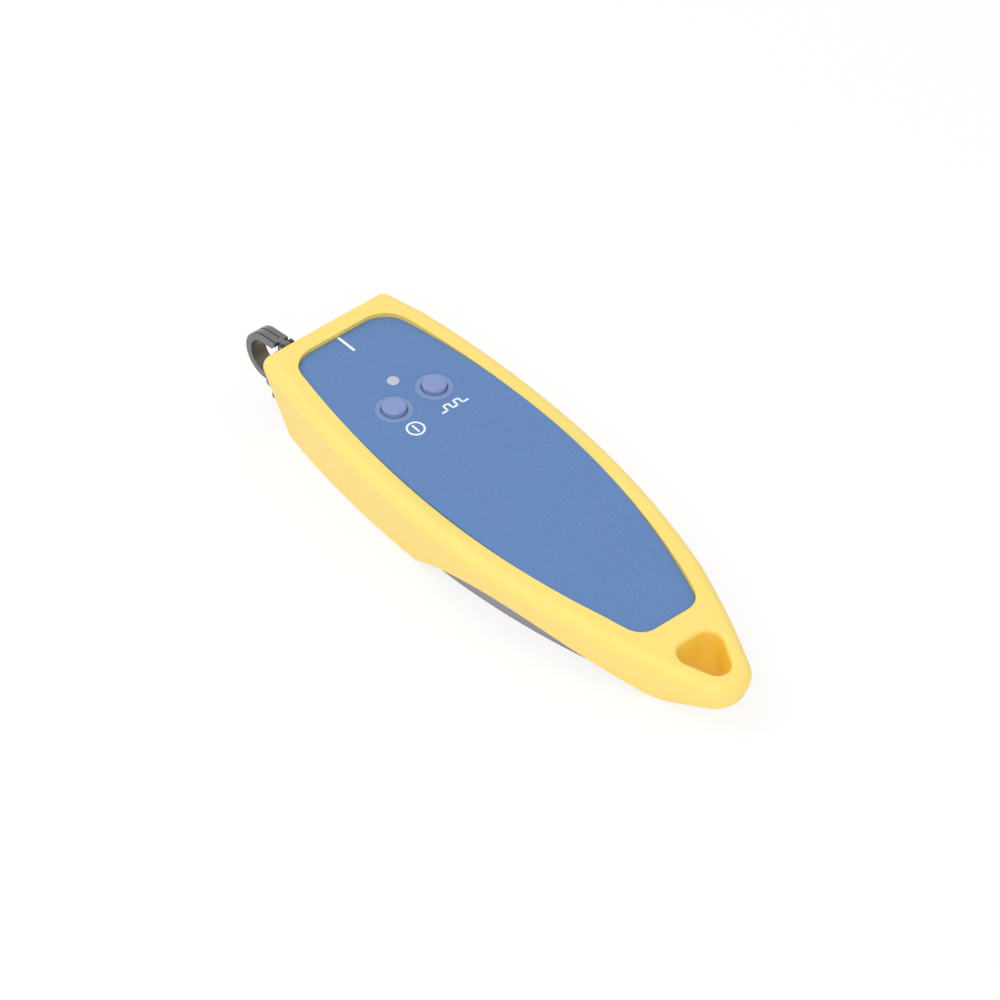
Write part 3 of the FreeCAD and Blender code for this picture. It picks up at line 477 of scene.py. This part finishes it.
def measure_round(points, axis):
    """Low end of a round solid's axis, and its points' heights over it and radii about it.

    The points are turned so that the axis is Z. It runs through the middle of their box.
    """
    turn = np.array(Vector(axis).rotation_difference(Vector((0, 0, 1))).to_matrix())
    upright = points @ turn.T
    low, high = upright.min(0), upright.max(0)
    middle = (low + high) / 2
    radii = np.hypot(*(upright - middle)[:, :2].T)
    origin = turn.T @ np.array([middle[0], middle[1], low[2]])
    return origin, upright[:, 2] - low[2], radii


def cross_recess(angle, share):
    """Depth, from 0 to 1, of a cross recess at an angle and a share of the head's radius.

    It is the product of two ramps, each 1 inside and 0 outside: one of the distance from the
    nearer bar's middle line, and one of the distance along that bar.
    """
    cosine, sine = abs(np.cos(angle)), abs(np.sin(angle))
    bar_half_width, wall, bar_reach, slope = 0.16, 0.05, 0.62, 0.2
    across = (bar_half_width - np.minimum(cosine, sine) * share) / wall
    along = (bar_reach - np.maximum(cosine, sine) * share) / slope
    return np.clip(across, 0, 1) * np.clip(along, 0, 1)


def screw_rings(head_radius, head_height, shank_radius, length, countersunk, columns=48):
    """A cross-recessed screw about Z, driven from Z = 0, as rings from the recess to the tip.

    The head's end is a polar grid that sinks in the recess. The head's side is a cylinder
    with a rounded rim, or a cone. On the shank the radius is the crest's, less the thread's
    depth times a wave of the height in pitches minus the angle in turns. Over the last
    pitches before the tip it all narrows to a point.
    """
    s = sizes()
    angle = np.linspace(0, 2 * math.pi, columns, endpoint=False)
    share = np.linspace(0.02, 0.92, 16)[:, None]
    recess_depth = 0.7 * head_height
    rings = [np.stack([share * head_radius * np.cos(angle), share * head_radius * np.sin(angle),
                       recess_depth * cross_recess(angle, share)], -1)]
    if countersunk:
        rim = [(1.0, 0.03), (1.0, 0.10)]
    else:
        rim = [(0.975, 0.02), (1.0, 0.12), (1.0, 0.94), (0.98, 1.0)]
    rings.append(turned_rings([r * head_radius for r, _ in rim],
                              [z * head_height for _, z in rim], columns))
    rows_per_pitch, run_in, run_out, tip_share = 8, 0.5, 1.5, 0.25
    rows = int((length - head_height) / s.thread_pitch * rows_per_pitch)
    height = np.linspace(head_height, length, rows)[:, None]
    wave = 1 - abs(2 * ((height / s.thread_pitch - angle / (2 * math.pi)) % 1) - 1)
    root = np.clip((height - head_height) / (run_in * s.thread_pitch), 0, 1)
    radius = shank_radius - s.thread_depth * root * (1 - wave)
    tip = np.clip((length - height) / (run_out * s.thread_pitch), 0, 1) ** 0.5
    radius = radius * (tip_share + (1 - tip_share) * tip)
    rings.append(turned_rings(radius, height[:, 0], columns))
    return np.concatenate(rings)


def screws_for(node, axis, countersunk=False):
    """Screws in the places, and of the sizes, of a node's plain solids."""
    shapes = []
    for points in solids_of(node):
        origin, heights, radii = measure_round(points, axis)
        length = heights.max()
        head_radius = radii.max()
        shank_radius = radii[heights > 0.9 * length].max()
        head_height = heights[radii > 0.9 * head_radius].max()
        if countersunk:
            head_height = heights[heights > head_height + 0.1 * MM].min()
        rings = screw_rings(head_radius, head_height, shank_radius, length, countersunk)
        shapes.append(tube(placed(rings, origin, axis)))
    return joined(shapes)


def coil_rings(radius, wire, length, turns):
    """A compression spring about Z, as rings round its wire.

    The wire's middle runs on a helix whose pitch is small at both ends: the height is the
    share of the turn less a sine of it. Each ring lies across the wire.
    """
    share = np.linspace(0, 1, int(turns * 36))
    turn = 2 * math.pi * turns * share
    rise = share - 0.7 * np.sin(2 * math.pi * share) / (2 * math.pi)
    outward = np.stack([np.cos(turn), np.sin(turn), np.zeros_like(turn)], -1)
    middle = radius * outward
    middle[:, 2] = wire / 2 + (length - wire) * rise
    around = np.linspace(0, 2 * math.pi, 14, endpoint=False)
    ring = (np.cos(around)[:, None] * outward[:, None, :]
            + np.sin(around)[:, None] * np.array([0, 0, 1]))
    return middle[:, None, :] + wire / 2 * ring


def cell_shape(node, positive):
    """A sleeved round cell along X: (points, faces) and each face's material, 0 or 1.

    Its profile is a radius at each distance from the flat end. The sleeve, material 0, folds
    over both ends, leaving bare steel, and a groove runs round behind the positive shoulder.
    positive is 1 or -1, the way that the terminal points along X.
    """
    low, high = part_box(node)
    middle = (low + high) / 2
    radius = (high.y - low.y) / 2
    length = high.x - low.x
    points = cloud(node)
    x = points[:, 0] - low.x if positive > 0 else high.x - points[:, 0]
    away = np.hypot(points[:, 1] - middle.y, points[:, 2] - middle.z)
    nub = away[x > length - 0.1 * MM].max()
    can = x[away > 0.8 * radius].max()
    fold = 0.80 * radius
    edge = 0.35 * MM
    dent = radius - 0.12 * MM
    profile = [(0.05 * radius, 0.25 * MM), (0.60 * radius, 0.25 * MM), (0.66 * radius, 0.0),
               (fold, 0.0), (fold + 0.01 * radius, 0.08 * MM), (radius - edge, 0.0),
               (radius - 0.3 * edge, 0.3 * edge), (radius, edge), (radius, can - 3.0 * MM),
               (dent, can - 2.6 * MM), (dent, can - 2.0 * MM), (radius, can - 1.6 * MM),
               (radius, can - edge), (radius - 0.3 * edge, can - 0.3 * edge),
               (radius - edge, can), (fold, can - 0.08 * MM),
               (fold - 0.01 * radius, can - 0.15 * MM), (nub + 0.4 * MM, can - 0.15 * MM),
               (nub, can), (nub, length - 0.2 * MM), (nub - 0.2 * MM, length),
               (0.1 * nub, length)]
    first_sleeve, last_sleeve, columns = 4, 15, 64
    radii, along = (np.array(c) for c in zip(*profile))
    rings = turned_rings(radii, along, columns)
    start = (low.x if positive > 0 else high.x, middle.y, middle.z)
    shape = tube(placed(rings, start, (positive, 0, 0)))
    kinds = np.ones(len(profile) - 1, dtype=int)
    kinds[first_sleeve:last_sleeve] = 0
    return shape, np.append(np.repeat(kinds, columns), (1, 1))


@functools.cache
def face_arc():
    """Centre and radius, in the X-Z plane, of the arc that the blue face follows.

    The circle through three points: its centre is as far from each, which gives two linear
    equations.
    """
    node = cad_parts["upper_casing"]
    tree = BVHTree.FromPolygons([v.co for v in node.data.vertices],
                                [p.vertices for p in node.data.polygons])
    low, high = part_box("upper_casing")
    length = high.x - low.x
    hits = []
    for share in (0.1, 0.5, 0.9):
        start = Vector((low.x + share * length, 0, high.z + 10 * MM))
        hits.append(tree.ray_cast(start, Vector((0, 0, -1)))[0])
    p = np.array([(h.x, h.z) for h in hits])
    rows = 2 * (p[1:] - p[0])
    sums = (p[1:] ** 2).sum(1) - (p[0] ** 2).sum()
    centre = np.linalg.solve(rows, sums)
    return centre, float(np.linalg.norm(p[0] - centre))


def on_face(x, y, height):
    """Points at a height over the face: on a circle about the arc's centre, at x along it."""
    centre, radius = face_arc()
    z = centre[1] + np.sqrt((radius + height) ** 2 - (x - centre[0]) ** 2)
    return np.stack([x, y, z], axis=-1)


def band_along(path, width, height, closed):
    """A flat printed line along a path on the face.

    Each path point is moved to both sides by half the width, square to the path, once over
    the face and once under it. The four rows that this gives are joined into a tube.
    """
    if closed:
        ahead = np.roll(path, -1, axis=0) - np.roll(path, 1, axis=0)
    else:
        ahead = np.gradient(path, axis=0)
    ahead /= np.linalg.norm(ahead, axis=1, keepdims=True)
    side = np.stack([-ahead[:, 1], ahead[:, 0]], axis=1) * width / 2
    rows = [(path + side, height), (path - side, height),
            (path - side, -height), (path + side, -height)]
    rings = np.stack([on_face(flat[:, 0], flat[:, 1], up) for flat, up in rows[::-1]], 1)
    if not closed:
        return tube(rings)
    points, faces = tube(np.concatenate([rings, rings[:1]]))
    return points, faces[:-2]


def line(start, end, count=12):
    """Points at even steps from one point to another."""
    share = np.linspace(0, 1, count)[:, None]
    return np.array(start) * (1 - share) + np.array(end) * share


def centre_of(node):
    """Middle of a node's box."""
    low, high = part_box(node)
    return (low + high) / 2


# ---------------------------------------------------------------- operators
class LOCATOR_OT_shell(bpy.types.Operator):
    """Gives the holster, the two casings and the battery door their moulded finishes"""
    bl_idname = "locator.shell"
    bl_label = "Holster and Casing"

    def execute(self, context):
        dress(thermoplastic_rubber(), "holster")
        dress(sparked_abs(), "upper_casing")
        dress(sparked_abs_grey(), "lower_casing", "battery_door")
        return {"FINISHED"}


class LOCATOR_OT_controls(bpy.types.Operator):
    """Gives the buttons, their silicone mat and the indicator their finishes"""
    bl_idname = "locator.controls"
    bl_label = "Buttons and Indicator"

    def execute(self, context):
        dress(silicone(), "keypad_mat")
        dress(button_plastic(), "button_power", "button_mode")
        dress(milky_acrylic(), "indicator_lens")
        return {"FINISHED"}


class LOCATOR_OT_marks(bpy.types.Operator):
    """Prints the index line, the power mark and the pulse mark on the face"""
    bl_idname = "locator.marks"
    bl_label = "Printed Marks"

    def execute(self, context):
        ink = screen_ink()
        self.index_line(ink)
        self.power_mark(ink)
        self.pulse_mark(ink)
        return {"FINISHED"}

    def index_line(self, ink):
        """A straight line on the centre line, from the front of the face towards the lamp."""
        s = sizes()
        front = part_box("upper_casing")[0].x + s.index_behind
        path = line((front, 0.0), (front + s.index_length, 0.0))
        shape = band_along(path, s.index_width, s.print_height, False)
        make_piece("index_line", shape, [ink], "tool")

    def power_mark(self, ink):
        """A ring, the path of a circle, with a bar on its diameter."""
        s = sizes()
        button = centre_of("button_power")
        centre = np.array([button.x + s.power_behind, button.y - s.power_aside])
        turn = np.linspace(0, 2 * math.pi, 72, endpoint=False)
        ring = centre + s.ring_radius * np.stack([np.cos(turn), np.sin(turn)], 1)
        half = np.array([s.bar_length / 2, 0])
        bar = line(centre - half, centre + half)
        shape = joined([band_along(ring, s.print_stroke, s.print_height, True),
                        band_along(bar, s.print_stroke, s.print_height, False)])
        make_piece("power_mark", shape, [ink], "tool")

    def pulse_mark(self, ink):
        """Two square pulses: flat strokes that overlap where they turn."""
        s = sizes()
        button = centre_of("button_mode")
        x0 = button.x + s.pulse_behind + s.pulse_height / 2
        x1 = x0 - s.pulse_height
        step = s.pulse_width / 5
        y = button.y - s.pulse_inward - s.pulse_width / 2 + step * np.arange(6)
        corners = [(x0, y[0]), (x0, y[1]), (x1, y[1]), (x1, y[2]), (x0, y[2]), (x0, y[3]),
                   (x1, y[3]), (x1, y[4]), (x0, y[4]), (x0, y[5])]
        strokes = []
        for a, b in zip(corners, corners[1:]):
            a, b = np.array(a), np.array(b)
            reach = (b - a) / np.linalg.norm(b - a) * s.print_stroke / 2
            strokes.append(band_along(line(a - reach, b + reach), s.print_stroke,
                                      s.print_height, False))
        make_piece("pulse_mark", joined(strokes), [ink], "tool")


class LOCATOR_OT_port(bpy.types.Operator):
    """Gives the port, its dust cover and the seal their finishes"""
    bl_idname = "locator.port"
    bl_label = "Port and Dust Cover"

    def execute(self, context):
        dress(cover_rubber(), "dust_cover")
        dress(seal_foam(), "cover_seal")
        dress(glass_filled_nylon(), "port_housing")
        dress(turned("nickel_plated_brass", linear("#c9c8c2"), 0.22, 0.2 * MM, 0.01 * MM),
              "port_receptacle")
        dress(zirconia(), "ferrule_sleeve")
        return {"FINISHED"}


class LOCATOR_OT_inside(bpy.types.Operator):
    """Gives the laser module, the circuit board and the battery parts their finishes"""
    bl_idname = "locator.inside"
    bl_label = "Inner Parts"

    def execute(self, context):
        dress(turned("turned_brass", linear("#c9a45c"), 0.25, 0.25 * MM, 0.01 * MM),
              "laser_barrel", "lens_holder")
        dress(coated_glass(), "focusing_lens")
        dress(solder_mask(), "circuit_board")
        dress(glass_filled_nylon(), "switch_power", "switch_mode", "driver_chip")
        dress(ceramic_capacitor(), "capacitors")
        dress(pressed_ferrite(), "inductor")
        dress(led_package(), "indicator_led")
        dress(nickel_steel(), "laser_diode", "contact_plates", "contact_bridge")
        return {"FINISHED"}


class LOCATOR_OT_fasteners(bpy.types.Operator):
    """Cuts the threads and cross recesses of the screws, which replace their plain solids"""
    bl_idname = "locator.fasteners"
    bl_label = "Screws and Hinge Pin"

    def execute(self, context):
        zinc = zinc_steel()
        dress(zinc, "cover_hinge_pin")
        plumb = (0, 0, 1)
        square = facing("circuit_board")
        for name, node, axis, sunk in (("threaded_case_screws", "case_screws", plumb, False),
                                       ("threaded_door_screw", "door_screw", plumb, True),
                                       ("threaded_board_screws", "board_screws", square, False)):
            screws = make_piece(name, screws_for(node, axis, sunk), [zinc], "tool")
            smooth(screws, 50)
            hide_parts(node)
        return {"FINISHED"}


class LOCATOR_OT_battery(bpy.types.Operator):
    """Winds the contact springs and sleeves the two cells"""
    bl_idname = "locator.battery"
    bl_label = "Cells and Springs"

    def execute(self, context):
        steel = nickel_steel()
        jacket = cell_jacket()
        self.springs(steel)
        for node, positive in (("battery_cell_left", -1), ("battery_cell_right", 1)):
            shape, kinds = cell_shape(node, positive)
            cell = make_piece("sleeved_" + node, shape, [jacket, steel], "tool",
                              kinds)
            smooth(cell, 40)
            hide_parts(node)
        return {"FINISHED"}

    def springs(self, steel):
        """Round-wire coils in the places of the two plain springs."""
        s = sizes()
        shapes = []
        for points in solids_of("contact_springs"):
            low, high = points.min(0), points.max(0)
            radius = (high[1] - low[1] - s.spring_wire) / 2
            rings = coil_rings(radius, s.spring_wire, high[0] - low[0], s.spring_turns)
            origin = (low[0], (low[1] + high[1]) / 2, (low[2] + high[2]) / 2)
            shapes.append(tube(placed(rings, origin, (1, 0, 0))))
        coils = make_piece("wound_contact_springs", joined(shapes), [steel], "tool")
        smooth(coils, 60)
        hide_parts("contact_springs")


class LOCATOR_OT_stage(bpy.types.Operator):
    """Lays the pale floor and sets the world, the lamps and the camera"""
    bl_idname = "locator.stage"
    bl_label = "Stage"

    floor_half = 6.0
    floor_white = 0.8
    floor_gap = 0.02 * MM
    ambient = 0.72
    aim = Vector((-9.6, -0.2, 12.3)) * MM
    azimuth = math.radians(49.08)
    elevation = math.radians(42.08)
    distance = 1.8
    lens = 284.3

    def execute(self, context):
        self.floor()
        self.world()
        self.lamp("key_lamp", (-0.55, -0.35, 0.95), 0.7, 2.8)
        self.lamp("front_lamp", (0.6, -0.55, 0.8), 0.6, 3.6)
        self.camera()
        bpy.context.scene.view_settings.view_transform = "Standard"
        return {"FINISHED"}

    def floor(self):
        """Matt white floor, part of it plain white to the eye so that its shade stays light.

        It is clear from below, so that the underside can be looked at.
        """
        material, tree, shader = start_material("matt_white_floor", linear("#fdfdfd"), 0.9,
                                                Specular_IOR_Level=0.0)
        mottle(tree, shader, linear("#fdfdfd"), 400 * MM, 0.004)
        white = add_node(tree, "ShaderNodeEmission", Color=(1, 1, 1, 1), Strength=1.0)
        seen = self.background_rays(tree)
        share = add_node(tree, "ShaderNodeMath", {"operation": "MULTIPLY"}, _0=seen,
                         _1=self.floor_white)
        top = add_node(tree, "ShaderNodeMixShader", _0=share.outputs[0],
                       _1=shader.outputs["BSDF"], _2=white.outputs["Emission"])
        below = add_node(tree, "ShaderNodeNewGeometry").outputs["Backfacing"]
        clear = add_node(tree, "ShaderNodeBsdfTransparent")
        mix = add_node(tree, "ShaderNodeMixShader", _0=below, _1=top.outputs[0],
                       _2=clear.outputs["BSDF"])
        tree.links.new(mix.outputs[0], tree.nodes["Material Output"].inputs["Surface"])
        h = self.floor_half
        z = -self.floor_gap
        mesh = bpy.data.meshes.new("floor")
        mesh.from_pydata([(-h, -h, z), (h, -h, z), (h, h, z), (-h, h, z)], [], [(0, 1, 2, 3)])
        mesh.materials.append(material)
        floor = bpy.data.objects.new("floor", mesh)
        bpy.context.scene.collection.objects.link(floor)

    def background_rays(self, tree):
        """1 on rays from the camera, a mirror or through glass, and 0 on all others."""
        rays = add_node(tree, "ShaderNodeLightPath")
        seen = rays.outputs["Is Camera Ray"]
        for other in ("Is Glossy Ray", "Is Transmission Ray"):
            seen = add_node(tree, "ShaderNodeMath", {"operation": "MAXIMUM"}, _0=seen,
                            _1=rays.outputs[other]).outputs[0]
        return seen

    def world(self):
        """Plain light all round, and full white where it is seen, mirrored or seen through."""
        world = bpy.data.worlds.new("studio")
        world.use_nodes = True
        tree = world.node_tree
        level = add_node(tree, "ShaderNodeMapRange", Value=self.background_rays(tree),
                         To_Min=self.ambient, To_Max=1.0)
        back = tree.nodes["Background"]
        back.inputs["Color"].default_value = (1, 1, 1, 1)
        tree.links.new(level.outputs["Result"], back.inputs["Strength"])
        bpy.context.scene.world = world

    def lamp(self, name, place, size, power):
        """A square area lamp that points at the object."""
        data = bpy.data.lights.new(name, "AREA")
        data.size = size
        data.energy = power
        lamp = bpy.data.objects.new(name, data)
        lamp.location = place
        lamp.rotation_euler = (self.aim - lamp.location).to_track_quat("-Z", "Y").to_euler()
        bpy.context.scene.collection.objects.link(lamp)

    def camera(self):
        data = bpy.data.cameras.new("camera")
        data.lens = self.lens
        data.clip_start = 0.05
        data.clip_end = 50
        camera = bpy.data.objects.new("camera", data)
        back = Vector((math.sin(self.azimuth) * math.cos(self.elevation),
                       -math.cos(self.azimuth) * math.cos(self.elevation),
                       math.sin(self.elevation)))
        turn = (-back).to_track_quat("-Z", "Y").to_matrix().to_4x4()
        camera.matrix_world = Matrix.Translation(self.aim + back * self.distance) @ turn
        bpy.context.scene.collection.objects.link(camera)
        bpy.context.scene.camera = camera


STEPS = (LOCATOR_OT_shell, LOCATOR_OT_controls, LOCATOR_OT_marks, LOCATOR_OT_port,
         LOCATOR_OT_inside, LOCATOR_OT_fasteners, LOCATOR_OT_battery, LOCATOR_OT_stage)


class LOCATOR_PT_panel(bpy.types.Panel):
    """Sidebar panel with the sizes, the colours and each step"""
    bl_idname = "LOCATOR_PT_panel"
    bl_label = "Visual Fault Locator"
    bl_space_type = "VIEW_3D"
    bl_region_type = "UI"
    bl_category = "Locator"

    def draw(self, context):
        column = self.layout.column()
        for group in (sizes(), colours()):
            for name in group.__annotations__:
                column.prop(group, name)
        for step in STEPS:
            column.operator(step.bl_idname)


CLASSES = (LocatorSizes, LocatorColours, *STEPS, LOCATOR_PT_panel)


def register():
    for cls in CLASSES:
        bpy.utils.register_class(cls)
    bpy.types.Scene.locator_sizes = PointerProperty(type=LocatorSizes)
    bpy.types.Scene.locator_colours = PointerProperty(type=LocatorColours)


def unregister():
    del bpy.types.Scene.locator_colours
    del bpy.types.Scene.locator_sizes
    for cls in reversed(CLASSES):
        bpy.utils.unregister_class(cls)


def main():
    register()
    bpy.ops.locator.shell()
    bpy.ops.locator.controls()
    bpy.ops.locator.marks()
    bpy.ops.locator.port()
    bpy.ops.locator.inside()
    bpy.ops.locator.fasteners()
    bpy.ops.locator.battery()
    bpy.ops.locator.stage()


if __name__ == "__main__":
    main()
